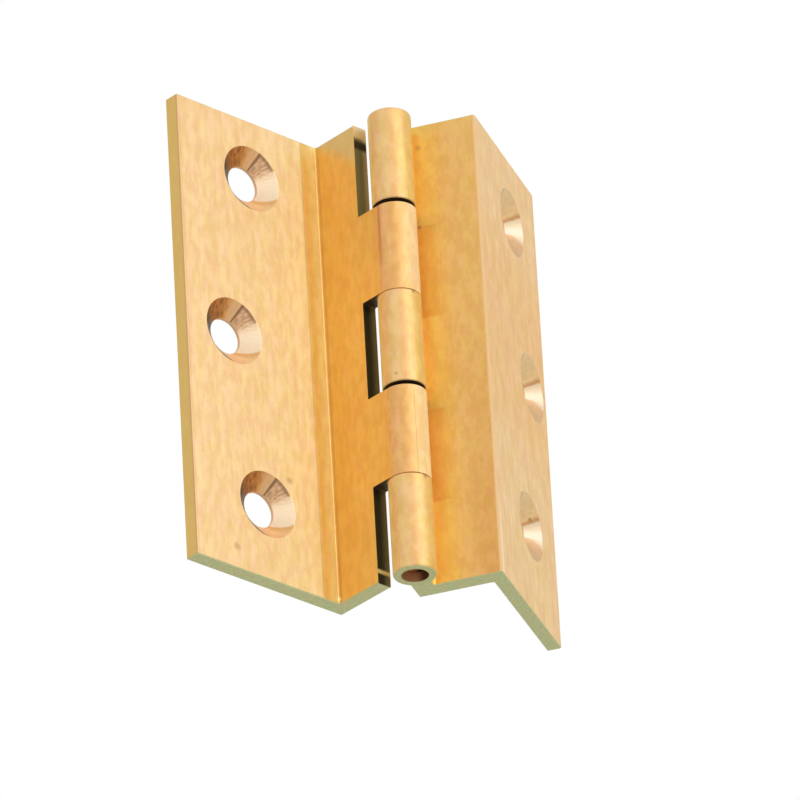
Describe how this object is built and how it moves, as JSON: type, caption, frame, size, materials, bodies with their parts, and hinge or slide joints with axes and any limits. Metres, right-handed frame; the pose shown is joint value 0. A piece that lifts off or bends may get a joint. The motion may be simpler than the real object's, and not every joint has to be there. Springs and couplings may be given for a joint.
{
  "type": "cranked casement hinge",
  "caption": "Cranked brass butt hinge for a rebated casement: two L-shaped leaves nest when shut and swing on a recessed pin.",
  "frame": {"origin": "on the pin axis, at the lower end of the inner leaf", "axes": "+Z along the pin axis, up; +X along the inner leaf's arm, away from the pin; +Y towards the wood behind the inner leaf"},
  "size_m": [0.0335, 0.0429, 0.0643],
  "materials": {
    "inner_leaf_brass": "drawn brass, satin",
    "outer_leaf_brass": "drawn brass, satin",
    "pin_brass": "drawn brass wire"
  },
  "bodies": {
    "inner": {"inner_leaf": "inner_leaf_brass", "hinge_pin": "pin_brass"},
    "outer": {"outer_leaf": "outer_leaf_brass"}
  },
  "joints": [
    {"name": "pin_swing", "type": "hinge", "parent": "inner", "child": "outer", "pos_m": [0, 0, 0], "axis": [0, 0, 1], "range_deg": [-48, 209]}
  ]
}
